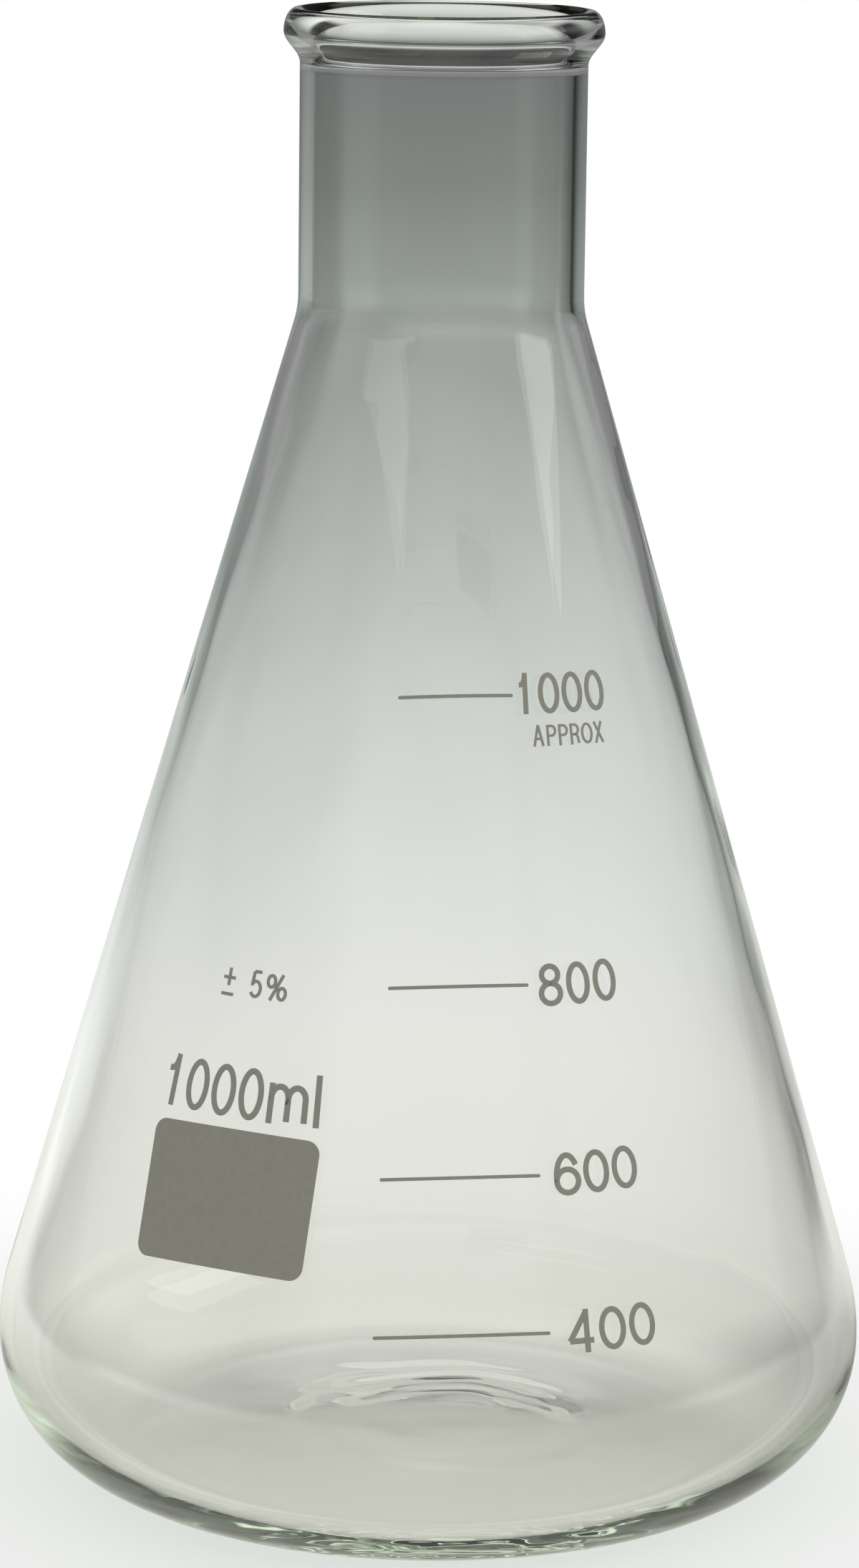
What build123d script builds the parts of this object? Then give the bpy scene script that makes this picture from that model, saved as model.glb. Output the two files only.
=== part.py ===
"""A 1000 ml conical laboratory flask with a beaded rim and a fired-on print.

Millimetres. The origin is the centre of the foot, on the surface that the
flask stands on, +Z runs up the axis of revolution, and the print faces -Y.
"""
import os
from math import asin, atan2, cos, hypot, sin, tan

from build123d import *

# Body and neck, outside of the glass
body_diameter = 131.0
neck_diameter = 42.0
flask_height = 220.0
neck_length = 43.6
shoulder_radius = 14.0
waist_radius = 31.0
widest_band = 0.2
heel_width = 21.0
heel_height = 20.8

# Thickness of the blown glass
wall = 2.0
base_thickness = 3.4

# Base, pushed up inside a flat ring that the flask stands on
push_up = 3.0
foot_ring_width = 3.0

# Rim, melted back into a bead around a flared mouth
bead_height = 7.8
bead_overhang = 2.4
bead_edge_drop = 3.4
crest_overhang = 0.5
mouth_flare_height = 5.5

# Print, an opaque enamel fired on the cone about a degree out of level
print_thickness = 0.1
print_tilt = 1.0

# Graduation lines: the height of each one's middle, and its length
line_azimuth = 4.5
line_width = 0.5
graduations = [(125.3, 16.4), (85.7, 20.0), (59.8, 22.8), (38.5, 25.2)]

# Marking spot, the patch that takes a pencil
spot_azimuth = -31.3
spot_height = 54.4
spot_width = 28.0
spot_slant_length = 20.0
spot_corner_radius = 2.0

body_radius = body_diameter / 2
neck_radius = neck_diameter / 2
shoulder_height = flask_height - neck_length

# The cone runs from the foot of the neck and touches the arc that rounds it into the widest place.
waist_centre_radius = body_radius - waist_radius
waist_centre_height = heel_height + widest_band
run_out = waist_centre_radius - neck_radius
run_down = shoulder_height - waist_centre_height
half_angle = atan2(run_out, run_down) + asin(waist_radius / hypot(run_out, run_down))
slope = tan(half_angle)
cone_foot_height = waist_centre_height + waist_radius * tan(half_angle / 2)


def cone_radius(height):
    """Outside radius of the straight cone at a height above the foot."""
    return neck_radius + (shoulder_height - height) * slope


def cone_plane(height, azimuth):
    """Plane that touches the cone, at an azimuth in degrees from -Y towards +X."""
    outward = Vector(0, -1, 0).rotate(Axis.Z, azimuth)
    across = Vector(1, 0, 0).rotate(Axis.Z, azimuth)
    origin = outward * cone_radius(height) + Vector(0, 0, height)
    normal = outward * cos(half_angle) + Vector(0, 0, sin(half_angle))
    return Plane(origin=origin, x_dir=across, z_dir=normal)


# The glass is one revolved section: up the outside, over the rim and down the inside.
foot_outer_radius = body_radius - heel_width
foot_inner_radius = foot_outer_radius - foot_ring_width
bead_root_height = flask_height - bead_height
bead_edge_height = flask_height - bead_edge_drop
bead_radius = neck_radius + bead_overhang
crest_radius = neck_radius + crest_overhang
flare_height = flask_height - mouth_flare_height
bore_radius = neck_radius - wall

# The inside of the cone is parallel to its outside, one wall in.
slant_wall = wall / cos(half_angle)
inner_radius = body_radius - wall
inner_shoulder_height = shoulder_height - (slant_wall - wall) / slope
inner_foot_height = shoulder_height - (inner_radius - neck_radius + slant_wall) / slope

with BuildPart() as flask:
    with BuildSketch(Plane.XZ):
        with BuildLine():
            Line((foot_inner_radius, 0), (foot_outer_radius, 0))
            EllipticalCenterArc(
                center=(foot_outer_radius, heel_height),
                x_radius=heel_width,
                y_radius=heel_height,
                start_angle=-90,
                arc_size=90,
            )
            FilletPolyline(
                (body_radius, heel_height),
                (body_radius, cone_foot_height),
                (neck_radius, shoulder_height),
                (neck_radius, bead_root_height),
                radius=[waist_radius, shoulder_radius],
            )
            Spline(
                (neck_radius, bead_root_height),
                (bead_radius, bead_edge_height),
                tangents=((0, 1), (0, 1)),
            )
            EllipticalCenterArc(
                center=(crest_radius, bead_edge_height),
                x_radius=bead_radius - crest_radius,
                y_radius=bead_edge_drop,
                start_angle=0,
                arc_size=90,
            )
            EllipticalCenterArc(
                center=(crest_radius, flare_height),
                x_radius=crest_radius - bore_radius,
                y_radius=mouth_flare_height,
                start_angle=90,
                arc_size=90,
            )
            FilletPolyline(
                (bore_radius, flare_height),
                (bore_radius, inner_shoulder_height),
                (inner_radius, inner_foot_height),
                (inner_radius, heel_height),
                radius=[shoulder_radius + wall, waist_radius - wall],
            )
            EllipticalCenterArc(
                center=(foot_outer_radius, heel_height),
                x_radius=heel_width - wall,
                y_radius=heel_height - base_thickness,
                start_angle=0,
                arc_size=-90,
            )
            Spline(
                (foot_outer_radius, base_thickness),
                (0, base_thickness + push_up),
                tangents=((-1, 0), (-1, 0)),
            )
            Line((0, base_thickness + push_up), (0, push_up))
            Spline(
                (0, push_up),
                (foot_inner_radius, 0),
                tangents=((1, 0), (1, 0)),
            )
        make_face()
    revolve(axis=Axis.Z)
flask.part.label = "flask"

# A skin of enamel over the whole straight cone, which the printed fields are cut from
skin_foot = waist_centre_height + waist_radius * sin(half_angle)
skin_top = shoulder_height - shoulder_radius * tan(half_angle / 2) * cos(half_angle)
skin_thickness = print_thickness / cos(half_angle)
with BuildPart() as enamel_skin:
    with BuildSketch(Plane.XZ):
        with BuildLine():
            Polyline(
                (cone_radius(skin_foot), skin_foot),
                (cone_radius(skin_foot) + skin_thickness, skin_foot),
                (cone_radius(skin_top) + skin_thickness, skin_top),
                (cone_radius(skin_top), skin_top),
                close=True,
            )
        make_face()
    revolve(axis=Axis.Z)

# Half the depth of the cutters, enough for the curve of the near side of the cone alone
cutter_reach = neck_radius / 2

with BuildPart() as graduation_lines:
    for height, length in graduations:
        with BuildSketch(cone_plane(height, line_azimuth)):
            SlotOverall(length, line_width, rotation=print_tilt)
    extrude(amount=cutter_reach, both=True)
    add(enamel_skin.part, mode=Mode.INTERSECT)
graduation_lines.part.label = "graduation_lines"

with BuildPart() as marking_spot:
    with BuildSketch(cone_plane(spot_height, spot_azimuth)):
        RectangleRounded(spot_width, spot_slant_length, spot_corner_radius, rotation=print_tilt)
    extrude(amount=cutter_reach, both=True)
    add(enamel_skin.part, mode=Mode.INTERSECT)
marking_spot.part.label = "marking_spot"

os.makedirs("parts", exist_ok=True)
export_step(flask.part, "parts/flask.step")
export_step(graduation_lines.part, "parts/graduation_lines.step")
export_step(marking_spot.part, "parts/marking_spot.step")
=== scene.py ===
"""A 1000 ml conical laboratory flask: clear blown glass with a fired-on print, on a white table."""
import math

import bpy
from mathutils import Matrix, Vector


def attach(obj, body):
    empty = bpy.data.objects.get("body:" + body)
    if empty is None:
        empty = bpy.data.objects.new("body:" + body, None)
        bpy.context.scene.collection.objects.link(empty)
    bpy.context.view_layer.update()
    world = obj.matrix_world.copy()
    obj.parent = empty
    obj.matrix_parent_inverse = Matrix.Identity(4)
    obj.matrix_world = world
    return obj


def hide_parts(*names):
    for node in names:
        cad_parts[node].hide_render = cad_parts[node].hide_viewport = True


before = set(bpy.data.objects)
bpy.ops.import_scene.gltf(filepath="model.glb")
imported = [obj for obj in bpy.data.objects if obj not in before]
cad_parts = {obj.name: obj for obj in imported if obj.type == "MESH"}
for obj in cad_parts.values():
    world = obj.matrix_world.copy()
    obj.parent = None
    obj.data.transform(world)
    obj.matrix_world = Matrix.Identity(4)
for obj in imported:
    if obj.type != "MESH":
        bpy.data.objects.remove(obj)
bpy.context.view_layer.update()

bl_info = {
    "name": "Conical Flask",
    "version": (1, 0, 0),
    "blender": (4, 5, 0),
    "location": "3D View > Sidebar > Flask",
    "description": "Builds a conical laboratory flask, its print and a white table",
    "category": "Add Mesh",
}

MM = 0.001
BODY = "root"
WHITE = (1, 1, 1, 1)
# Gap between the glass and the words, so that no face of one lies in a face of the other
PRINT_CLEARANCE = 0.01 * MM


def linear(hex_colour):
    """sRGB hex to linear RGBA."""
    channels = [int(hex_colour[i:i + 2], 16) / 255 for i in (0, 2, 4)]
    return [c / 12.92 if c <= 0.04045 else ((c + 0.055) / 1.055) ** 2.4 for c in channels] + [1.0]


def add_node(tree, kind, inputs=None, **settings):
    """Adds a node with its settings, and fills its inputs with values or links."""
    node = tree.nodes.new(kind)
    for name, value in settings.items():
        setattr(node, name, value)
    for key, value in (inputs or {}).items():
        if isinstance(value, bpy.types.NodeSocket):
            tree.links.new(value, node.inputs[key])
        else:
            node.inputs[key].default_value = value
    return node


def length(name, description, default_mm):
    """A length that a user may set, in metres."""
    return bpy.props.FloatProperty(
        name=name, description=description, default=default_mm * MM, min=0.0,
        precision=5, unit="LENGTH", subtype="DISTANCE",
    )


def colour(name, description, hex_colour):
    """A colour that a user may set."""
    return bpy.props.FloatVectorProperty(
        name=name, description=description, default=linear(hex_colour)[:3], size=3,
        min=0.0, max=1.0, subtype="COLOR",
    )


class FlaskSizes(bpy.types.PropertyGroup):
    """Sizes of the glass and of its print, the same as the solids have."""

    body_diameter: length("Body diameter", "Widest outside diameter", 131.0)
    neck_diameter: length("Neck diameter", "Outside diameter of the neck", 42.0)
    flask_height: length("Height", "From the table to the crest of the rim", 220.0)
    neck_length: length("Neck length", "From the top of the cone to the crest", 43.6)
    shoulder_radius: length("Shoulder radius", "Hollow curve from cone to neck", 14.0)
    waist_radius: length("Waist radius", "Round curve from cone to widest place", 31.0)
    widest_band: length("Widest band", "Upright band between waist and heel", 0.2)
    heel_width: length("Heel width", "How far the heel runs in under the body", 21.0)
    heel_height: length("Heel height", "How far up the heel runs", 20.8)
    wall: length("Wall", "Thickness of the blown glass", 2.0)
    base_thickness: length("Base thickness", "Glass over the foot ring", 3.4)
    push_up: length("Push-up", "Height of the hollow under the base", 3.0)
    foot_ring_width: length("Foot ring width", "Flat ring that the flask stands on", 3.0)
    bead_height: length("Bead height", "From the root of the bead to the crest", 7.8)
    bead_overhang: length("Bead overhang", "How far the bead stands out of the neck", 2.4)
    bead_edge_drop: length("Bead edge drop", "Crest down to the bead's widest place", 3.4)
    crest_overhang: length("Crest overhang", "How far the crest stands out", 0.5)
    mouth_flare_height: length("Mouth flare", "Height of the flare inside the rim", 5.5)
    print_thickness: length("Print thickness", "How far the enamel stands off the glass", 0.1)


class FlaskColours(bpy.types.PropertyGroup):
    """Colours of the glass, of its print and of the table."""

    glass_depth: colour("Glass, thick", "What light takes on in thick glass", "E7F9DD")
    glass_shadow: colour("Glass, shadow", "Light that the glass lets on to the table", "F9FAF9")
    enamel: colour("Enamel", "Fired grey-green enamel of the print", "86847A")
    enamel_dark: colour("Enamel, thin", "The same enamel where it lies thinner", "7A796D")
    table: colour("Table", "White table that the flask stands on", "F4F4F4")


def cone_half_angle(sizes):
    """Half angle of the cone, which runs from the neck's foot and touches the waist's curve."""
    run_out = sizes.body_diameter / 2 - sizes.waist_radius - sizes.neck_diameter / 2
    run_down = (sizes.flask_height - sizes.neck_length) - (sizes.heel_height + sizes.widest_band)
    return math.atan2(run_out, run_down) + math.asin(
        sizes.waist_radius / math.hypot(run_out, run_down))


def glass_section(sizes):
    """Radii and heights of the glass, worked out as the solids' section is."""
    body_radius = sizes.body_diameter / 2
    neck_radius = sizes.neck_diameter / 2
    shoulder_height = sizes.flask_height - sizes.neck_length
    waist_height = sizes.heel_height + sizes.widest_band
    half_angle = cone_half_angle(sizes)
    slope = math.tan(half_angle)
    slant_wall = sizes.wall / math.cos(half_angle)
    inner_radius = body_radius - sizes.wall
    return {
        "Body radius": body_radius,
        "Neck radius": neck_radius,
        "Shoulder height": shoulder_height,
        "Cone foot height": waist_height + sizes.waist_radius * math.tan(half_angle / 2),
        "Waist radius": sizes.waist_radius,
        "Shoulder radius": sizes.shoulder_radius,
        "Heel width": sizes.heel_width,
        "Heel height": sizes.heel_height,
        "Foot radius": body_radius - sizes.heel_width,
        "Foot hollow radius": body_radius - sizes.heel_width - sizes.foot_ring_width,
        "Push-up": sizes.push_up,
        "Base thickness": sizes.base_thickness,
        "Floor middle height": sizes.base_thickness + sizes.push_up,
        "Inner heel width": sizes.heel_width - sizes.wall,
        "Inner heel height": sizes.heel_height - sizes.base_thickness,
        "Inner body radius": inner_radius,
        "Inner foot height": shoulder_height - (inner_radius - neck_radius + slant_wall) / slope,
        "Inner waist radius": sizes.waist_radius - sizes.wall,
        "Inner shoulder height": shoulder_height - (slant_wall - sizes.wall) / slope,
        "Inner shoulder radius": sizes.shoulder_radius + sizes.wall,
        "Bore radius": neck_radius - sizes.wall,
        "Flare height": sizes.flask_height - sizes.mouth_flare_height,
        "Mouth flare width": sizes.crest_overhang + sizes.wall,
        "Mouth flare height": sizes.mouth_flare_height,
        "Crest radius": neck_radius + sizes.crest_overhang,
        "Bead edge width": sizes.bead_overhang - sizes.crest_overhang,
        "Bead edge drop": sizes.bead_edge_drop,
        "Bead edge height": sizes.flask_height - sizes.bead_edge_drop,
        "Bead radius": neck_radius + sizes.bead_overhang,
        "Bead root height": sizes.flask_height - sizes.bead_height,
    }


# The section's stretches in order, from the middle of the floor up the inside, over the rim and
# down to the middle of the base. A point is a radius and a height.
# A bend runs from point to point, and leaves the one and reaches the other along the same axis.
# An arc has a centre, its two radii, and in degrees where it starts and how far it sweeps.
# Corners are four points, with the radii that round the second and the third.
# The last number is how many rows of the mesh the stretch gets.
SECTION = [
    ("bend", (0, "Floor middle height"), ("Foot radius", "Base thickness"), (1, 0), 56),
    ("arc", ("Foot radius", "Heel height"), ("Inner heel width", "Inner heel height"),
     (-90, 90), 24),
    ("corners", [("Inner body radius", "Heel height"), ("Inner body radius", "Inner foot height"),
                 ("Bore radius", "Inner shoulder height"), ("Bore radius", "Flare height")],
     ("Inner waist radius", "Inner shoulder radius"), None, 156),
    ("arc", ("Crest radius", "Flare height"), ("Mouth flare width", "Mouth flare height"),
     (180, -90), 13),
    ("arc", ("Crest radius", "Bead edge height"), ("Bead edge width", "Bead edge drop"),
     (90, -90), 12),
    ("bend", ("Bead radius", "Bead edge height"), ("Neck radius", "Bead root height"), (0, 1), 9),
    ("corners", [("Neck radius", "Bead root height"), ("Neck radius", "Shoulder height"),
                 ("Body radius", "Cone foot height"), ("Body radius", "Heel height")],
     ("Shoulder radius", "Waist radius"), None, 156),
    ("arc", ("Foot radius", "Heel height"), ("Heel width", "Heel height"), (0, -90), 24),
    ("bend", ("Foot hollow radius", 0), (0, "Push-up"), (1, 0), 28),
]
FLOOR_ROWS = SECTION[0][-1]
INSIDE_ROWS = sum(stretch[-1] for stretch in SECTION[:3])

# How many points each curve is drawn with, before its stretch gets its rows
ROUNDED_CORNER_POINTS = 48
ARC_POINTS = 96
BEND_POINTS = 64
# Points this close come together: on the axis, at the seam and where two stretches meet
MERGE_DISTANCE = 0.002 * MM

# Working the hot glass leaves its inside faintly uneven. Each kind of wave has its number to the
# metre and how much closer it comes along each axis. The ring on the floor breaks off about every
# 17 mm, the swirls beside it are about 26 mm across and 16 mm deep, and the streaks up the walls
# are about 8 mm wide and 130 mm long.
RING_BREAKS = (60.0, (1, 1, 1))
FLOOR_SWIRLS = (38.0, (1.0, 1.6, 1.0))
WALL_STREAKS = (130.0, (1, 1, 0.06))
# The ring lies a little off the axis. Its strength is its wave, from -1 to 1, times the first
# number and plus the second.
RING_CENTRE = (4.5 * MM, 0, 0)
RING_STRENGTH = (1.4, 0.7)
# Rows between which the unevenness of the floor ends, and that of the wall begins and ends
FLOOR_END = (FLOOR_ROWS - 30, FLOOR_ROWS - 8)
WALL_START = (FLOOR_ROWS + 8, FLOOR_ROWS + 40)
WALL_END = (INSIDE_ROWS - 12, INSIDE_ROWS)


def section_curve(tree, given, shape, first, second, turn):
    """The curve of one stretch of the section."""

    def point(pair):
        """A point of the section from the names of its radius and height."""
        radius, height = [given[value] if isinstance(value, str) else value for value in pair]
        return add_node(tree, "ShaderNodeCombineXYZ", {"X": radius, "Y": height}).outputs[0]

    if shape == "corners":
        line = add_node(tree, "GeometryNodeCurvePrimitiveQuadrilateral", mode="POINTS")
        for number, corner in enumerate(first):
            tree.links.new(point(corner), line.inputs[f"Point {number + 1}"])
        opened = add_node(tree, "GeometryNodeSetSplineCyclic", {
            "Geometry": line.outputs[0], "Cyclic": False})
        # Counted from 0, corner 1 takes the first radius and corner 2 the second
        index = add_node(tree, "GeometryNodeInputIndex")
        later = add_node(tree, "ShaderNodeMath", {0: index.outputs[0], 1: 1.5},
                         operation="GREATER_THAN")
        radius = add_node(tree, "ShaderNodeMix", {
            "Factor": later.outputs[0], 2: given[second[0]], 3: given[second[1]]})
        return add_node(tree, "GeometryNodeFilletCurve", {
            "Curve": opened.outputs[0], "Radius": radius.outputs[0],
            "Count": ROUNDED_CORNER_POINTS}, mode="POLY").outputs[0]

    if shape == "arc":
        circle = add_node(tree, "GeometryNodeCurveArc", {
            "Resolution": ARC_POINTS, "Radius": 1.0, "Start Angle": math.radians(turn[0]),
            "Sweep Angle": math.radians(turn[1])})
        scale = add_node(tree, "ShaderNodeCombineXYZ", {
            "X": given[second[0]], "Y": given[second[1]], "Z": 1.0})
        return add_node(tree, "GeometryNodeTransform", {
            "Geometry": circle.outputs[0], "Translation": point(first),
            "Scale": scale.outputs[0]}).outputs[0]

    # A handle reaches a third of the way along the axis that the bend leaves and arrives on
    start, end = point(first), point(second)
    chord = add_node(tree, "ShaderNodeVectorMath", {0: start, 1: end}, operation="SUBTRACT")
    along = add_node(tree, "ShaderNodeVectorMath", {
        0: chord.outputs[0], 1: (turn[0] / 3, turn[1] / 3, 0)}, operation="MULTIPLY")
    leave = add_node(tree, "ShaderNodeVectorMath", {0: start, 1: along.outputs[0]},
                     operation="SUBTRACT")
    arrive = add_node(tree, "ShaderNodeVectorMath", {0: end, 1: along.outputs[0]},
                      operation="ADD")
    return add_node(tree, "GeometryNodeCurvePrimitiveBezierSegment", {
        "Resolution": BEND_POINTS, "Start": start, "Start Handle": leave.outputs[0],
        "End Handle": arrive.outputs[0], "End": end}, mode="POSITION").outputs[0]


def uneven_inside(tree, given, glass, row):
    """The glass with its floor and the inside of its walls as uneven as hot work leaves them."""
    place = add_node(tree, "GeometryNodeInputPosition").outputs[0]

    def waves(number, closeness):
        """Seeded noise from -1 to 1."""
        drawn = add_node(tree, "ShaderNodeVectorMath", {0: place, 1: closeness},
                         operation="MULTIPLY")
        noise = add_node(tree, "ShaderNodeTexNoise", {
            "Vector": drawn.outputs[0], "W": given["Seed"], "Scale": number, "Detail": 1.0},
            noise_dimensions="4D")
        return add_node(tree, "ShaderNodeMath", {0: noise.outputs[0], 1: 2.0, 2: -1.0},
                        operation="MULTIPLY_ADD").outputs[0]

    on_floor, on_wall, below_rim = [
        add_node(tree, "ShaderNodeMapRange", {
            "Value": row, "From Min": low, "From Max": high, "To Min": start, "To Max": end},
            interpolation_type="SMOOTHSTEP").outputs[0]
        for (low, high), start, end in (
            (FLOOR_END, 1.0, 0.0), (WALL_START, 0.0, 1.0), (WALL_END, 1.0, 0.0))
    ]

    # The floor: a ring of cosine waves that die away to both sides, and the swirls
    centred = add_node(tree, "ShaderNodeVectorMath", {0: place, 1: RING_CENTRE},
                       operation="SUBTRACT")
    level = add_node(tree, "ShaderNodeVectorMath", {0: centred.outputs[0], 1: (1, 1, 0)},
                     operation="MULTIPLY")
    distance = add_node(tree, "ShaderNodeVectorMath", {0: level.outputs[0]}, operation="LENGTH")
    beyond = add_node(tree, "ShaderNodeMath", {
        0: distance.outputs["Value"], 1: given["Ripple radius"]}, operation="SUBTRACT")
    turns = add_node(tree, "ShaderNodeMath", {0: beyond.outputs[0], 1: given["Ripple pitch"]},
                     operation="DIVIDE").outputs[0]
    angle = add_node(tree, "ShaderNodeMath", {0: turns, 1: math.tau}, operation="MULTIPLY")
    ring = add_node(tree, "ShaderNodeMath", {0: angle.outputs[0]}, operation="COSINE").outputs[0]
    square = add_node(tree, "ShaderNodeMath", {0: turns, 1: turns}, operation="MULTIPLY")
    fall = add_node(tree, "ShaderNodeMath", {0: square.outputs[0], 1: -1.0},
                    operation="MULTIPLY")
    fade = add_node(tree, "ShaderNodeMath", {0: fall.outputs[0]}, operation="EXPONENT")
    broken = add_node(tree, "ShaderNodeMath", {
        0: waves(*RING_BREAKS), 1: RING_STRENGTH[0], 2: RING_STRENGTH[1]},
        operation="MULTIPLY_ADD")
    for share in (fade.outputs[0], broken.outputs[0], given["Ripple height"]):
        ring = add_node(tree, "ShaderNodeMath", {0: ring, 1: share},
                        operation="MULTIPLY").outputs[0]
    swirl = add_node(tree, "ShaderNodeMath", {
        0: waves(*FLOOR_SWIRLS), 1: given["Floor unevenness"]}, operation="MULTIPLY")
    both = add_node(tree, "ShaderNodeMath", {0: ring, 1: swirl.outputs[0]}, operation="ADD")
    rise = add_node(tree, "ShaderNodeMath", {0: both.outputs[0], 1: on_floor},
                    operation="MULTIPLY")
    lift = add_node(tree, "ShaderNodeCombineXYZ", {"Z": rise.outputs[0]})
    rippled = add_node(tree, "GeometryNodeSetPosition", {
        "Geometry": glass, "Offset": lift.outputs[0]})

    # The walls: streaks that run up the flask
    sideways = add_node(tree, "ShaderNodeVectorMath", {0: place, 1: (1, 1, 0)},
                        operation="MULTIPLY")
    outward = add_node(tree, "ShaderNodeVectorMath", {0: sideways.outputs[0]},
                       operation="NORMALIZE")
    depth = waves(*WALL_STREAKS)
    for share in (on_wall, below_rim, given["Wall unevenness"]):
        depth = add_node(tree, "ShaderNodeMath", {0: depth, 1: share},
                         operation="MULTIPLY").outputs[0]
    streaks = add_node(tree, "ShaderNodeVectorMath", {0: outward.outputs[0], "Scale": depth},
                       operation="SCALE")
    return add_node(tree, "GeometryNodeSetPosition", {
        "Geometry": rippled.outputs[0], "Offset": streaks.outputs[0]}).outputs[0]


def turned_glass_tree(section, material):
    """Geometry nodes that draw the section of the glass and turn it round the axis."""
    tree = bpy.data.node_groups.new("turned_glass", "GeometryNodeTree")
    for name, kind, value in (
        *[(name, "NodeSocketFloat", value) for name, value in section.items()],
        ("Segments", "NodeSocketInt", 192),
        ("Ripple height", "NodeSocketFloat", 0.12 * MM),
        ("Ripple radius", "NodeSocketFloat", 20.0 * MM),
        ("Ripple pitch", "NodeSocketFloat", 9.0 * MM),
        ("Floor unevenness", "NodeSocketFloat", 0.55 * MM),
        ("Wall unevenness", "NodeSocketFloat", 0.1 * MM),
        ("Seed", "NodeSocketInt", 7),
    ):
        item = tree.interface.new_socket(name, in_out="INPUT", socket_type=kind)
        item.default_value = value
    tree.interface.new_socket("Geometry", in_out="OUTPUT", socket_type="NodeSocketGeometry")
    given = tree.nodes.new("NodeGroupInput").outputs

    # The join puts its newest link first, so the last stretch is linked first
    joined = add_node(tree, "GeometryNodeJoinGeometry")
    for shape, first, second, turn, rows in reversed(SECTION):
        stretch = add_node(tree, "GeometryNodeResampleCurve", {
            "Curve": section_curve(tree, given, shape, first, second, turn), "Count": rows},
            mode="COUNT")
        tree.links.new(stretch.outputs[0], joined.inputs[0])
    profile = joined.outputs[0]

    # A grid with one row for each point of the section and one column for each step of the turn
    size = add_node(tree, "GeometryNodeAttributeDomainSize", {0: profile}, component="CURVE")
    columns = add_node(tree, "ShaderNodeMath", {0: given["Segments"], 1: 1.0}, operation="ADD")
    grid = add_node(tree, "GeometryNodeMeshGrid", {
        "Vertices X": size.outputs["Point Count"], "Vertices Y": columns.outputs[0]})
    index = add_node(tree, "GeometryNodeInputIndex")
    quotient = add_node(tree, "ShaderNodeMath", {0: index.outputs[0], 1: columns.outputs[0]},
                        operation="DIVIDE")
    row = add_node(tree, "ShaderNodeMath", {0: quotient.outputs[0]}, operation="FLOOR")
    column = add_node(tree, "ShaderNodeMath", {0: index.outputs[0], 1: columns.outputs[0]},
                      operation="MODULO")
    share = add_node(tree, "ShaderNodeMath", {0: column.outputs[0], 1: given["Segments"]},
                     operation="DIVIDE")
    angle = add_node(tree, "ShaderNodeMath", {0: share.outputs[0], 1: math.tau},
                     operation="MULTIPLY")
    place = add_node(tree, "GeometryNodeInputPosition")
    found = add_node(tree, "GeometryNodeSampleIndex", {
        "Geometry": profile, "Index": row.outputs[0]}, data_type="FLOAT_VECTOR", domain="POINT")
    tree.links.new(place.outputs[0], found.inputs["Value"])
    parts = add_node(tree, "ShaderNodeSeparateXYZ", {0: found.outputs[0]}).outputs
    flat = add_node(tree, "ShaderNodeCombineXYZ", {"X": parts["X"], "Z": parts["Y"]})
    turned = add_node(tree, "ShaderNodeVectorRotate", {
        "Vector": flat.outputs[0], "Angle": angle.outputs[0]}, rotation_type="Z_AXIS")
    lathe = add_node(tree, "GeometryNodeSetPosition", {
        "Geometry": grid.outputs[0], "Position": turned.outputs[0]})

    uneven = uneven_inside(tree, given, lathe.outputs[0], row.outputs[0])
    merged = add_node(tree, "GeometryNodeMergeByDistance", {
        "Geometry": uneven, "Distance": MERGE_DISTANCE})
    smooth = add_node(tree, "GeometryNodeSetShadeSmooth", {"Geometry": merged.outputs[0]})
    real = add_node(tree, "GeometryNodeRealizeInstances", {"Geometry": smooth.outputs[0]})
    dressed = add_node(tree, "GeometryNodeSetMaterial", {
        "Geometry": real.outputs[0], "Material": material})
    add_node(tree, "NodeGroupOutput", {0: dressed.outputs[0]})
    return tree


def grown_mesh(source, name, tree, values):
    """The plain mesh that a geometry nodes tree makes of an object, as a new piece."""
    modifier = source.modifiers.new(name, "NODES")
    modifier.node_group = tree
    for item in tree.interface.items_tree:
        if item.in_out == "INPUT" and item.name in values:
            modifier[item.identifier] = values[item.name]
    bpy.context.view_layer.update()
    evaluated = source.evaluated_get(bpy.context.evaluated_depsgraph_get())
    mesh = bpy.data.meshes.new_from_object(evaluated)
    if not mesh.polygons:
        raise RuntimeError(f"{name} came out empty")
    mesh.name = name
    source.modifiers.remove(modifier)
    bpy.data.objects.remove(source)
    piece = bpy.data.objects.new(name, mesh)
    bpy.context.scene.collection.objects.link(piece)
    return piece


def borosilicate_glass(colours):
    """Borosilicate glass, blown and fire-polished: clear, and faintly green where it is thick."""
    material = bpy.data.materials.new("borosilicate_glass")
    material.use_nodes = True
    tree = material.node_tree
    tree.nodes.clear()
    glass = add_node(tree, "ShaderNodeBsdfPrincipled", {
        "Base Color": WHITE, "Roughness": 0.0, "IOR": 1.473, "Transmission Weight": 1.0})
    # Light that falls on the table passes straight through, because bent, it would come out noisy
    clear = add_node(tree, "ShaderNodeBsdfTransparent", {"Color": [*colours.glass_shadow, 1.0]})
    paths = add_node(tree, "ShaderNodeLightPath").outputs
    surface = glass.outputs[0]
    for ray in ("Is Shadow Ray", "Is Diffuse Ray"):
        surface = add_node(tree, "ShaderNodeMixShader", {
            0: paths[ray], 1: surface, 2: clear.outputs[0]}).outputs[0]
    depth = add_node(tree, "ShaderNodeVolumeAbsorption", {
        "Color": [*colours.glass_depth, 1.0], "Density": 9.0})
    add_node(tree, "ShaderNodeOutputMaterial", {"Surface": surface, "Volume": depth.outputs[0]})
    return material


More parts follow.
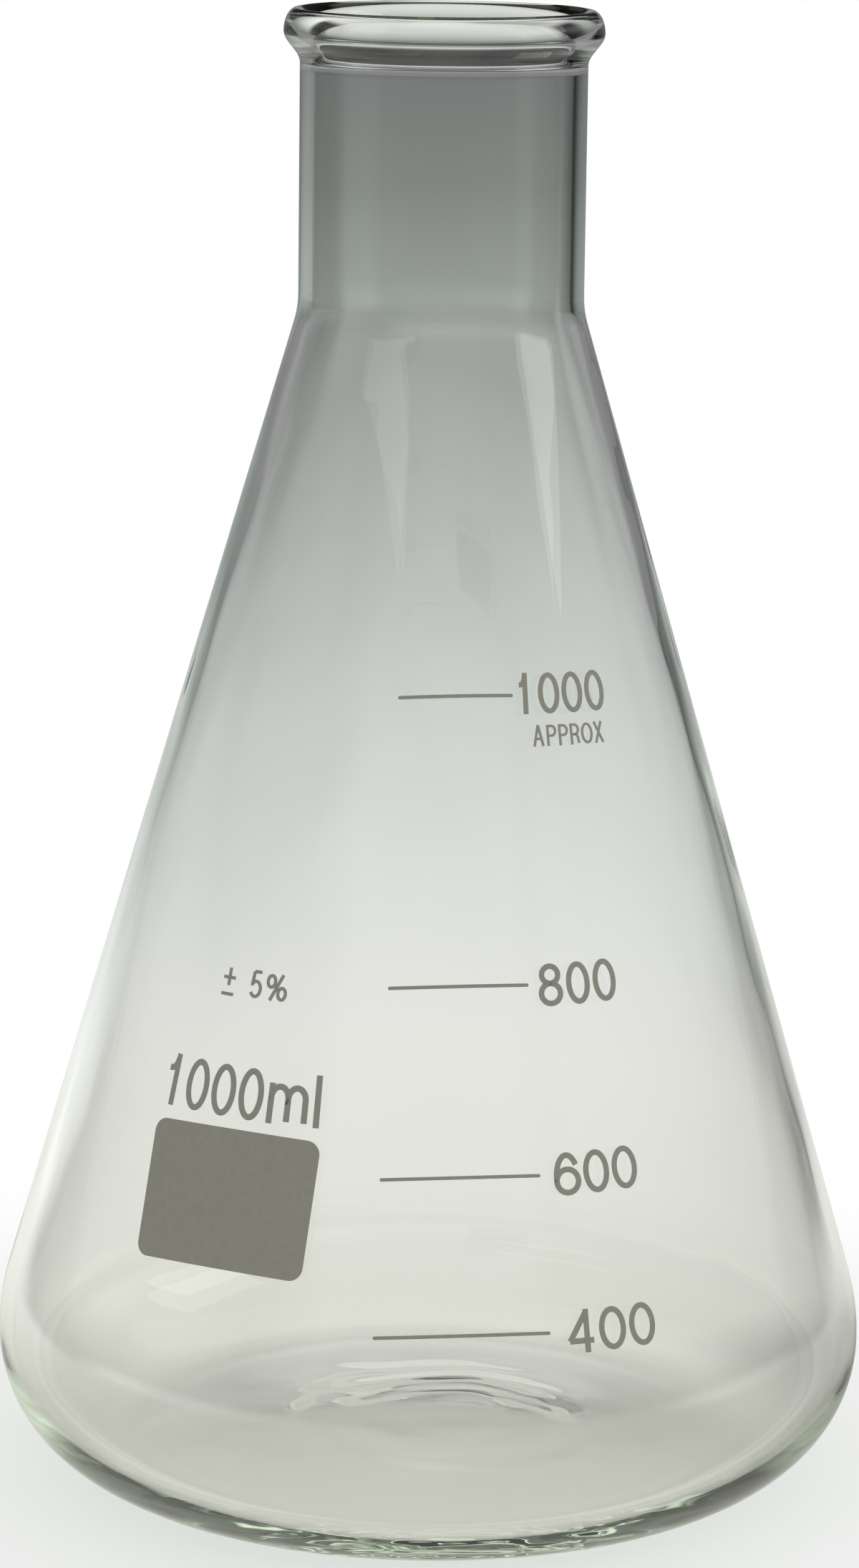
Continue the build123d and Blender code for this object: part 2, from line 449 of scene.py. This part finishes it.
def fired_enamel(colours):
    """Vitreous ink, screened on and fired: opaque, matt and finely mottled grey-green."""
    material = bpy.data.materials.new("fired_enamel")
    material.use_nodes = True
    tree = material.node_tree
    tree.nodes.clear()
    place = add_node(tree, "ShaderNodeTexCoord")
    # 900 waves to the metre, for mottling about 1.1 mm across
    mottle = add_node(tree, "ShaderNodeTexNoise", {
        "Vector": place.outputs["Object"], "Scale": 900.0, "Detail": 3.0, "Roughness": 0.6})
    tone = add_node(tree, "ShaderNodeMix", {
        "Factor": mottle.outputs[0], 6: [*colours.enamel_dark, 1.0], 7: [*colours.enamel, 1.0]},
        data_type="RGBA")
    surface = add_node(tree, "ShaderNodeBsdfPrincipled", {
        "Base Color": tone.outputs[2], "Roughness": 0.55})
    add_node(tree, "ShaderNodeOutputMaterial", {"Surface": surface.outputs[0]})
    return material


# Strokes of the characters as centrelines, in a box from 0 to 1 each way. A stroke is a run of
# points and of arcs, and an arc is its centre, its two radii and the degrees that it runs between.
# The sign + stands for plus or minus.
OVAL = [[(0.5, 0.5, 0.5, 0.5, 0, 360)]]
BOWL = [[(0, 0), (0, 1)], [(0, 1), (0.5, 0.74, 0.5, 0.26, 90, -90), (0, 0.48)]]
STROKES = {
    "0": OVAL,
    "O": OVAL,
    "1": [[(1, 0), (1, 1)], [(0, 0.74), (0.2, 1.0, 0.75, 0.26, -90, -8)]],
    "4": [[(0.72, 0), (0.72, 1)], [(0.7, 0.98), (0, 0.24)], [(0, 0.24), (1, 0.24)]],
    "6": [[(0.5, 0.31, 0.5, 0.31, 0, 360)], [(0, 0.31), (0.5, 0.4, 0.5, 0.6, 180, 33)]],
    "8": [[(0.5, 0.27, 0.5, 0.27, 0, 360)], [(0.5, 0.77, 0.43, 0.23, 0, 360)]],
    "5": [[(0.95, 1), (0.2, 1)], [(0.2, 1), (0.08, 0.46)], [(0.48, 0.33, 0.5, 0.33, 142, -152)]],
    "l": [[(0.5, 0), (0.5, 1)]],
    "m": [[(0, 0), (0, 1)], [(0, 0.5), (0.25, 0.66, 0.25, 0.34, 170, 0), (0.5, 0)],
          [(0.5, 0.5), (0.75, 0.66, 0.25, 0.34, 170, 0), (1, 0)]],
    "A": [[(0, 0), (0.5, 1)], [(0.5, 1), (1, 0)], [(0.17, 0.33), (0.83, 0.33)]],
    "P": BOWL,
    "R": [*BOWL, [(0.42, 0.48), (0.48, 0.24, 0.42, 0.24, 80, 0), (1, 0)]],
    "X": [[(0, 0), (1, 1)], [(0, 1), (1, 0)]],
    "+": [[(0.5, 0.3), (0.5, 1)], [(0, 0.65), (1, 0.65)], [(0, 0), (1, 0)]],
    "%": [[(0.2, 0.75, 0.2, 0.25, 0, 360)], [(0.8, 0.25, 0.2, 0.25, 0, 360)],
          [(0.2, 0), (0.8, 1)]],
}
# Degrees from point to point along an arc
ARC_STEP = 9

# The printed words: azimuth in degrees from the front towards the right, height in millimetres of
# their middle, tilt in degrees, stroke width, foot and top, and each character with its left and
# right edge. Widths, feet, tops and edges are in millimetres, the last three from the middle.
WORDS = {
    "number_1000": (30.4, 125.1, -2.3, 0.74, -2.93, 2.99, [
        ("1", -7.45, -5.82), ("0", -4.2, -0.82), ("0", -0.39, 3.05), ("0", 3.54, 6.99)]),
    "number_800": (25.8, 85.4, -0.5, 0.8, -3.09, 3.01, [
        ("8", -6.26, -2.6), ("0", -1.99, 1.72), ("0", 2.28, 6.05)]),
    "number_600": (25.2, 59.7, 0.0, 0.82, -3.16, 2.98, [
        ("6", -6.56, -2.48), ("0", -2.04, 2.01), ("0", 2.51, 6.63)]),
    "number_400": (25.1, 38.4, -0.6, 0.82, -3.27, 2.87, [
        ("4", -7.06, -2.64), ("0", -2.14, 2.07), ("0", 2.66, 6.86)]),
    "approx_word": (31.05, 119.0, -1.9, 0.37, -1.21, 1.83, [
        ("A", -6.34, -4.6), ("P", -4.16, -2.6), ("P", -2.24, -0.68), ("R", -0.34, 1.22),
        ("O", 1.53, 3.52), ("X", 3.78, 5.45)]),
    "capacity_mark": (-30.8, 69.0, 0.8, 0.9, -3.7, 3.8, [
        ("1", -14.3, -11.95), ("0", -9.96, -5.85), ("0", -5.21, -1.06), ("0", -0.47, 3.6),
        ("m", 4.4, 10.65), ("l", 11.67, 12.39)]),
    "tolerance_mark": (-31.9, 83.9, 0.8, 0.5, -1.9, 1.9, [
        ("+", -5.6, -3.0), ("5", -0.6, 1.5), ("%", 2.1, 5.6)]),
}
# How much of the words' height a small letter takes up
SMALL_LETTER_SHARE = {"m": 0.776}


def stroke_points(parts):
    """Points along a stroke's centreline."""
    points = []
    for part in parts:
        if len(part) == 2:
            points.append(part)
            continue
        middle_x, middle_y, reach_x, reach_y, start, end = part
        steps = max(2, round(abs(end - start) / ARC_STEP))
        for step in range(steps + 1):
            turn = math.radians(start + (end - start) * step / steps)
            points.append((middle_x + reach_x * math.cos(turn),
                           middle_y + reach_y * math.sin(turn)))
    return points


def word_curve(name, stroke, foot, top, characters):
    """The centrelines of a word as one flat curve object, in metres about the word's middle."""
    curve = bpy.data.curves.new(name, "CURVE")
    curve.dimensions = "3D"
    for character, left, right in characters:
        high = foot + (top - foot) * SMALL_LETTER_SHARE.get(character, 1.0)
        for parts in STROKES[character]:
            points = stroke_points(parts)
            rounded = any(len(part) == 6 for part in parts)
            closed = rounded and len(parts) == 1 and abs(parts[0][5] - parts[0][4]) == 360
            if closed:
                points = points[:-1]
            spline = curve.splines.new("POLY")
            spline.points.add(len(points) - 1)
            spline.use_cyclic_u = closed
            for point, (x, y) in zip(spline.points, points):
                across = left + stroke / 2 + x * (right - left - stroke)
                # A straight stroke's cut end is at the edge, and a round one's middle is inside it
                if rounded or 0 < y < 1:
                    up = foot + stroke / 2 + y * (high - foot - stroke)
                else:
                    up = foot + y * (high - foot)
                point.co = (across * MM, up * MM, 0.0, 1.0)
    return bpy.data.objects.new(name, curve)


def wrapped_print_tree(material):
    """Geometry nodes that give flat strokes their width and wrap them on the cone."""
    tree = bpy.data.node_groups.new("wrapped_print", "GeometryNodeTree")
    tree.interface.new_socket("Geometry", in_out="INPUT", socket_type="NodeSocketGeometry")
    for name in ("Stroke width", "Thickness", "Clearance", "Azimuth", "Height", "Tilt",
                 "Neck radius", "Shoulder height", "Half angle"):
        tree.interface.new_socket(name, in_out="INPUT", socket_type="NodeSocketFloat")
    tree.interface.new_socket("Geometry", in_out="OUTPUT", socket_type="NodeSocketGeometry")
    given = tree.nodes.new("NodeGroupInput").outputs

    upright = add_node(tree, "GeometryNodeSetCurveNormal", {"Curve": given["Geometry"]},
                       mode="Z_UP")
    nib = add_node(tree, "GeometryNodeCurvePrimitiveQuadrilateral", {
        "Width": given["Stroke width"], "Height": given["Thickness"]}, mode="RECTANGLE")
    ribbon = add_node(tree, "GeometryNodeCurveToMesh", {
        "Curve": upright.outputs[0], "Profile Curve": nib.outputs[0], "Fill Caps": True})

    place = add_node(tree, "GeometryNodeInputPosition")
    tilted = add_node(tree, "ShaderNodeVectorRotate", {
        "Vector": place.outputs[0], "Angle": given["Tilt"]}, rotation_type="Z_AXIS")
    flat = add_node(tree, "ShaderNodeSeparateXYZ", {0: tilted.outputs[0]})
    sine, cosine, tangent = [
        add_node(tree, "ShaderNodeMath", {0: given["Half angle"]}, operation=operation)
        for operation in ("SINE", "COSINE", "TANGENT")
    ]
    drop = add_node(tree, "ShaderNodeMath", {0: given["Shoulder height"], 1: given["Height"]},
                    operation="SUBTRACT")
    middle = add_node(tree, "ShaderNodeMath", {
        0: drop.outputs[0], 1: tangent.outputs[0], 2: given["Neck radius"]},
        operation="MULTIPLY_ADD")
    half = add_node(tree, "ShaderNodeMath", {
        0: given["Thickness"], 1: 0.5, 2: given["Clearance"]}, operation="MULTIPLY_ADD")
    lift = add_node(tree, "ShaderNodeMath", {0: flat.outputs["Z"], 1: half.outputs[0]},
                    operation="ADD")
    out = add_node(tree, "ShaderNodeMath", {
        0: lift.outputs[0], 1: cosine.outputs[0], 2: middle.outputs[0]}, operation="MULTIPLY_ADD")
    slant_in = add_node(tree, "ShaderNodeMath", {0: flat.outputs["Y"], 1: sine.outputs[0]},
                        operation="MULTIPLY")
    radius = add_node(tree, "ShaderNodeMath", {0: out.outputs[0], 1: slant_in.outputs[0]},
                      operation="SUBTRACT")
    slant_up = add_node(tree, "ShaderNodeMath", {
        0: flat.outputs["Y"], 1: cosine.outputs[0], 2: given["Height"]}, operation="MULTIPLY_ADD")
    height = add_node(tree, "ShaderNodeMath", {
        0: lift.outputs[0], 1: sine.outputs[0], 2: slant_up.outputs[0]}, operation="MULTIPLY_ADD")
    arc = add_node(tree, "ShaderNodeMath", {0: flat.outputs["X"], 1: middle.outputs[0]},
                   operation="DIVIDE")
    turn = add_node(tree, "ShaderNodeMath", {0: arc.outputs[0], 1: given["Azimuth"]},
                    operation="ADD")
    back = add_node(tree, "ShaderNodeMath", {0: radius.outputs[0], 1: -1.0}, operation="MULTIPLY")
    front = add_node(tree, "ShaderNodeCombineXYZ", {"Y": back.outputs[0], "Z": height.outputs[0]})
    wrapped = add_node(tree, "ShaderNodeVectorRotate", {
        "Vector": front.outputs[0], "Angle": turn.outputs[0]}, rotation_type="Z_AXIS")
    moved = add_node(tree, "GeometryNodeSetPosition", {
        "Geometry": ribbon.outputs[0], "Position": wrapped.outputs[0]})
    flat_shade = add_node(tree, "GeometryNodeSetShadeSmooth", {
        "Geometry": moved.outputs[0], "Shade Smooth": False})
    real = add_node(tree, "GeometryNodeRealizeInstances", {"Geometry": flat_shade.outputs[0]})
    dressed = add_node(tree, "GeometryNodeSetMaterial", {
        "Geometry": real.outputs[0], "Material": material})
    add_node(tree, "NodeGroupOutput", {0: dressed.outputs[0]})
    return tree


TABLE_RADIUS = 5.0
TABLE_SIDES = 96
# The table lies this far under the foot, so that no face of one lies in a face of the other
TABLE_DROP = 0.05 * MM
LIGHT_BOUNCES = 32

# Painted shade of the table as gloss and glass see it, by its distance from the flask in metres:
# darker under the flask where its shadow falls, and darker far off where the light falls away
TABLE_PAINTED_SHADE = [
    (0.0, "D4D4C9"), (0.07, "DADAD0"), (0.15, "E3E3DB"), (0.24, "E6E6E1"), (0.31, "E2E3E0"),
    (0.40, "DBDDDA"), (0.49, "D4D6D4"), (0.60, "CDD1CD"), (0.74, "C0C4C0"), (0.90, "B3B7B4"),
    (1.10, "A6ABA7"), (1.35, "979D98"), (1.67, "939894"), (2.12, "828783"), (2.76, "7A7E7C"),
    (3.6, "737774"), (5.0, "6C6F6D"),
]

# Painted light and shade on the table to each side, as gloss and glass see it, near the flask and
# far from it, against what it is behind. Azimuths are in degrees from behind the flask towards the
# right.
NEAR_SIDE_PAINTED_LIGHT = [(-180, 1.0), (-150, 0.9), (-110, 0.7), (-60, 1.0), (-40, 1.12), (-20, 1.03),
              (0, 1.0), (40, 1.0), (55, 0.65), (75, 0.6), (100, 0.5), (120, 0.3), (150, 0.75),
              (180, 1.0)]
FAR_SIDE_PAINTED_LIGHT = [(-180, 0.9), (-165, 1.0), (-115, 1.6), (-95, 1.6), (-82, 0.15), (-58, 0.02),
             (-50, 0.1), (-43, 1.4), (-30, 1.3), (-20, 1.12), (-10, 1.0), (12, 1.0), (20, 0.85),
             (30, 0.6), (38, 0.2), (44, 0.03), (66, 0.0), (80, 1.0), (110, 1.5), (124, 0.5),
             (150, 0.8), (180, 0.9)]
# Distances in metres over which the near sides come in, and the far ones take their place
CLOSE_RANGE = (0.05, 0.08)
FAR_RANGE = (0.22, 0.36)
# Distances over which the camera's table goes from lit, with the flask's shadow, to plain white
OPEN_RANGE = (0.07, 0.17)

# How bright each wall of the room is through the glass, by elevation in degrees: the dark one
# behind the flask and the ones to the right, in front and to the left, each with its ceiling
BACK_WALL = [(0, 0.22), (3, 0.34), (6, 0.34), (8.5, 0.08), (12, 0.04), (34, 0.05), (42, 0.7),
             (55, 1.0), (90, 1.0)]
RIGHT_WALL = [(0, 0.15), (4, 0.25), (7, 0.4), (10, 0.6), (14, 0.85), (18, 0.9), (22, 0.5),
              (28, 0.35), (45, 0.35), (90, 0.7)]
FRONT_WALL = [(0, 0.2), (5, 0.4), (9, 0.6), (13, 0.85), (19, 0.95), (23, 0.5), (30, 0.45),
              (45, 0.7), (90, 0.7)]
LEFT_WALL = [(0, 0.2), (5, 0.3), (9, 0.2), (14, 0.25), (20, 0.45), (26, 0.3), (45, 0.3),
             (90, 0.7)]
# How bright the room is on the table and the print, against the camera's white
ROOM_LIGHT = (0.93, 0.93, 0.93, 1)

# Where each wall stands, as a share of it by azimuth in degrees from behind towards the right
RIGHT_SPAN = [(50, 0.0), (66, 1.0), (135, 1.0), (155, 0.0)]
LEFT_SPAN = [(-155, 0.0), (-135, 1.0), (-62, 1.0), (-45, 0.0)]
FRONT_SPAN = [(-150, 1.0), (-130, 0.0), (130, 0.0), (150, 1.0)]

# Soft boxes: azimuth from the front towards the right and elevation in degrees, distance, width
# and height in metres, brightness where white is 1, and colour
SOFT_BOXES = [
    ("right_box", 82, 29, 0.9, 0.50, 0.40, 1.6, (1.0, 1.0, 1.0)),
    ("left_box", -40, 24, 1.0, 0.62, 0.05, 0.8, (1.0, 0.98, 0.9)),
]
SOFT_BOX_AIM = (0, 0, 0.15)

# The camera: pitch down, yaw and roll in radians, place in metres and lens in millimetres
CAMERA_TURN = (0.2091, -0.0011, 0.0125)
CAMERA_PLACE = (0.0, -0.74247, 0.26240)
CAMERA_LENS = 116.2


def tones_along(tree, measure, stops, low, high):
    """The tones of some stops along a measure, which the stops are given in."""
    share = add_node(tree, "ShaderNodeMapRange", {
        "Value": measure, "From Min": low, "From Max": high})
    node = add_node(tree, "ShaderNodeValToRGB", {"Fac": share.outputs[0]})
    elements = node.color_ramp.elements
    while len(elements) < len(stops):
        elements.new(0.5)
    for element, (at, tone) in zip(elements, stops):
        element.position = (at - low) / (high - low)
        element.color = linear(tone) if isinstance(tone, str) else [tone, tone, tone, 1.0]
    return node.outputs[0]


def azimuth_of(tree, direction):
    """Azimuth of a direction in degrees, from behind the flask towards the right."""
    parts = add_node(tree, "ShaderNodeSeparateXYZ", {0: direction}).outputs
    turn = add_node(tree, "ShaderNodeMath", {0: parts["X"], 1: parts["Y"]}, operation="ARCTAN2")
    return add_node(tree, "ShaderNodeMath", {0: turn.outputs[0]}, operation="DEGREES").outputs[0]


def white_laminate(colours):
    """High-pressure laminate, white and matt. To gloss and glass it shows painted shade instead,
    darker under the flask and towards the far end of the room, with painted light and shade to each
    side.
    """
    material = bpy.data.materials.new("white_laminate")
    material.use_nodes = True
    tree = material.node_tree
    tree.nodes.clear()
    paths = add_node(tree, "ShaderNodeLightPath").outputs
    place = add_node(tree, "ShaderNodeTexCoord").outputs["Object"]
    distance = add_node(tree, "ShaderNodeVectorMath", {0: place},
                        operation="LENGTH").outputs["Value"]
    is_open, is_near, is_far = [
        add_node(tree, "ShaderNodeMapRange", {
            "Value": distance, "From Min": low, "From Max": high},
            interpolation_type="SMOOTHSTEP").outputs[0]
        for low, high in (OPEN_RANGE, CLOSE_RANGE, FAR_RANGE)
    ]
    lit = add_node(tree, "ShaderNodeBsdfDiffuse", {"Color": [*colours.table, 1.0]})
    white = add_node(tree, "ShaderNodeEmission", {"Color": WHITE, "Strength": 1.0})
    seen_open = add_node(tree, "ShaderNodeMath", {0: is_open, 1: paths["Is Camera Ray"]},
                         operation="MULTIPLY")
    surface = add_node(tree, "ShaderNodeMixShader", {
        0: seen_open.outputs[0], 1: lit.outputs[0], 2: white.outputs[0]}).outputs[0]

    # What gloss and glass see: painted shade by distance, times painted light and shade by side,
    # given off by the table as light
    azimuth = azimuth_of(tree, place)
    near = add_node(tree, "ShaderNodeMix", {
        "Factor": is_near, 6: WHITE, 7: tones_along(tree, azimuth, NEAR_SIDE_PAINTED_LIGHT, -180, 180)},
        data_type="RGBA")
    sides = add_node(tree, "ShaderNodeMix", {
        "Factor": is_far, 6: near.outputs[2],
        7: tones_along(tree, azimuth, FAR_SIDE_PAINTED_LIGHT, -180, 180)}, data_type="RGBA")
    shown = add_node(tree, "ShaderNodeMix", {
        "Factor": 1.0, 6: tones_along(tree, distance, TABLE_PAINTED_SHADE, 0.0, TABLE_RADIUS),
        7: sides.outputs[2]}, data_type="RGBA", blend_type="MULTIPLY")
    painted_light_emission = add_node(tree, "ShaderNodeEmission", {"Color": shown.outputs[2], "Strength": 1.0})
    for ray in ("Is Glossy Ray", "Is Transmission Ray"):
        surface = add_node(tree, "ShaderNodeMixShader", {
            0: paths[ray], 1: surface, 2: painted_light_emission.outputs[0]}).outputs[0]
    add_node(tree, "ShaderNodeOutputMaterial", {"Surface": surface})
    return material


def white_room():
    """The room round the table: plain white light, with darker walls for the glass to show."""
    world = bpy.data.worlds.new("white_room")
    world.use_nodes = True
    tree = world.node_tree
    tree.nodes.clear()
    paths = add_node(tree, "ShaderNodeLightPath").outputs
    direction = add_node(tree, "ShaderNodeTexCoord").outputs["Generated"]
    rise = add_node(tree, "ShaderNodeSeparateXYZ", {0: direction}).outputs["Z"]
    tilt = add_node(tree, "ShaderNodeMath", {0: rise}, operation="ARCSINE")
    elevation = add_node(tree, "ShaderNodeMath", {0: tilt.outputs[0]},
                         operation="DEGREES").outputs[0]
    azimuth = azimuth_of(tree, direction)
    shown = tones_along(tree, elevation, BACK_WALL, 0, 90)
    for wall, span in ((RIGHT_WALL, RIGHT_SPAN), (LEFT_WALL, LEFT_SPAN), (FRONT_WALL, FRONT_SPAN)):
        shown = add_node(tree, "ShaderNodeMix", {
            "Factor": tones_along(tree, azimuth, span, -180, 180), 6: shown,
            7: tones_along(tree, elevation, wall, 0, 90)}, data_type="RGBA").outputs[2]
    room = add_node(tree, "ShaderNodeBackground", {"Color": shown, "Strength": 1.0})
    plain = add_node(tree, "ShaderNodeMix", {
        "Factor": paths["Is Camera Ray"], 6: ROOM_LIGHT, 7: WHITE}, data_type="RGBA")
    surface = add_node(tree, "ShaderNodeBackground", {
        "Color": plain.outputs[2], "Strength": 1.0}).outputs[0]
    for ray in ("Is Glossy Ray", "Is Transmission Ray"):
        surface = add_node(tree, "ShaderNodeMixShader", {
            0: paths[ray], 1: surface, 2: room.outputs[0]}).outputs[0]
    add_node(tree, "ShaderNodeOutputWorld", {"Surface": surface})
    return world


class FLASK_OT_glass(bpy.types.Operator):
    """Turn the glass of the flask round its axis"""

    bl_idname = "flask.glass"
    bl_label = "Glass"

    def execute(self, context):
        section = glass_section(context.scene.flask_sizes)
        glass = borosilicate_glass(context.scene.flask_colours)
        tree = turned_glass_tree(section, glass)
        mesh = bpy.data.meshes.new("glass_seed")
        seed = bpy.data.objects.new("glass_seed", mesh)
        context.scene.collection.objects.link(seed)
        piece = grown_mesh(seed, "flask_glass", tree, section)
        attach(piece, BODY)
        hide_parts("flask")
        return {"FINISHED"}


class FLASK_OT_print(bpy.types.Operator):
    """Give the graduation lines and the marking spot their enamel, and print the words"""

    bl_idname = "flask.print"
    bl_label = "Print"

    def execute(self, context):
        sizes = context.scene.flask_sizes
        section = glass_section(sizes)
        enamel = fired_enamel(context.scene.flask_colours)
        for name in ("graduation_lines", "marking_spot"):
            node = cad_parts[name]
            node.data.materials.clear()
            node.data.materials.append(enamel)
        tree = wrapped_print_tree(enamel)
        for name, (azimuth, height, tilt, stroke, foot, top, characters) in WORDS.items():
            flat = word_curve(name, stroke, foot, top, characters)
            context.scene.collection.objects.link(flat)
            piece = grown_mesh(flat, name, tree, {
                "Stroke width": stroke * MM,
                "Thickness": sizes.print_thickness - PRINT_CLEARANCE,
                "Clearance": PRINT_CLEARANCE,
                "Azimuth": math.radians(azimuth),
                "Height": height * MM,
                "Tilt": math.radians(tilt),
                "Neck radius": section["Neck radius"],
                "Shoulder height": section["Shoulder height"],
                "Half angle": cone_half_angle(sizes),
            })
            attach(piece, BODY)
        return {"FINISHED"}


class FLASK_OT_stage(bpy.types.Operator):
    """Lay the white table, light it and set the camera"""

    bl_idname = "flask.stage"
    bl_label = "Stage"

    def execute(self, context):
        scene = context.scene
        scene.view_settings.view_transform = "Standard"
        self.lay_table(context)
        self.light(context)
        self.aim_camera(context)
        return {"FINISHED"}

    def lay_table(self, context):
        """A wide disc of white laminate just under the foot of the flask."""
        bpy.ops.mesh.primitive_circle_add(
            vertices=TABLE_SIDES, radius=TABLE_RADIUS, fill_type="NGON",
            location=(0, 0, -TABLE_DROP))
        table = context.object
        table.name = "table"
        table.data.materials.append(white_laminate(context.scene.flask_colours))

    def light(self, context):
        """A plain white room, and two soft boxes that show as streaks on the glass."""
        # Light goes round inside the thick heel and rim many times before it leaves the glass
        paths = context.scene.cycles
        paths.max_bounces = paths.transmission_bounces = LIGHT_BOUNCES
        paths.glossy_bounces = LIGHT_BOUNCES
        context.scene.world = white_room()
        for name, azimuth, elevation, distance, width, height, radiance, warmth in SOFT_BOXES:
            data = bpy.data.lights.new(name, "AREA")
            data.shape = "RECTANGLE"
            data.size, data.size_y = width, height
            data.energy = radiance * width * height * math.pi
            data.color = warmth
            lamp = bpy.data.objects.new(name, data)
            lamp.visible_camera = False
            context.scene.collection.objects.link(lamp)
            turn, rise = math.radians(azimuth), math.radians(elevation)
            away = Vector((math.sin(turn) * math.cos(rise), -math.cos(turn) * math.cos(rise),
                           math.sin(rise)))
            place = Vector(SOFT_BOX_AIM) + away * distance
            lamp.matrix_world = Matrix.Translation(place) @ (
                away.to_track_quat("Z", "Y").to_matrix().to_4x4())

    def aim_camera(self, context):
        """A long lens, a little above the rim and looking slightly down."""
        pitch, yaw, roll = CAMERA_TURN
        forward = Vector((math.sin(yaw) * math.cos(pitch), math.cos(yaw) * math.cos(pitch),
                          -math.sin(pitch)))
        right = Vector((math.cos(yaw), -math.sin(yaw), 0.0))
        up = right.cross(forward)
        across = right * math.cos(roll) + up * math.sin(roll)
        upward = up * math.cos(roll) - right * math.sin(roll)
        data = bpy.data.cameras.new("camera")
        data.lens = CAMERA_LENS
        camera = bpy.data.objects.new("camera", data)
        context.scene.collection.objects.link(camera)
        turn = Matrix((across, upward, -forward)).transposed()
        camera.matrix_world = Matrix.Translation(CAMERA_PLACE) @ turn.to_4x4()
        context.scene.camera = camera


class FLASK_PT_panel(bpy.types.Panel):
    """Sizes, colours and the steps that build the flask"""

    bl_idname = "FLASK_PT_panel"
    bl_label = "Conical Flask"
    bl_space_type = "VIEW_3D"
    bl_region_type = "UI"
    bl_category = "Flask"

    def draw(self, context):
        layout = self.layout
        for group in (context.scene.flask_sizes, context.scene.flask_colours):
            box = layout.box()
            for name in group.__annotations__:
                box.prop(group, name)
        for operator in OPERATORS:
            layout.operator(operator.bl_idname)


OPERATORS = (FLASK_OT_stage, FLASK_OT_glass, FLASK_OT_print)
CLASSES = (FlaskSizes, FlaskColours, *OPERATORS, FLASK_PT_panel)


def register():
    for item in CLASSES:
        bpy.utils.register_class(item)
    bpy.types.Scene.flask_sizes = bpy.props.PointerProperty(type=FlaskSizes)
    bpy.types.Scene.flask_colours = bpy.props.PointerProperty(type=FlaskColours)


def unregister():
    del bpy.types.Scene.flask_colours
    del bpy.types.Scene.flask_sizes
    for item in reversed(CLASSES):
        bpy.utils.unregister_class(item)


def main():
    register()
    bpy.ops.flask.stage()
    bpy.ops.flask.glass()
    bpy.ops.flask.print()


if __name__ == "__main__":
    main()
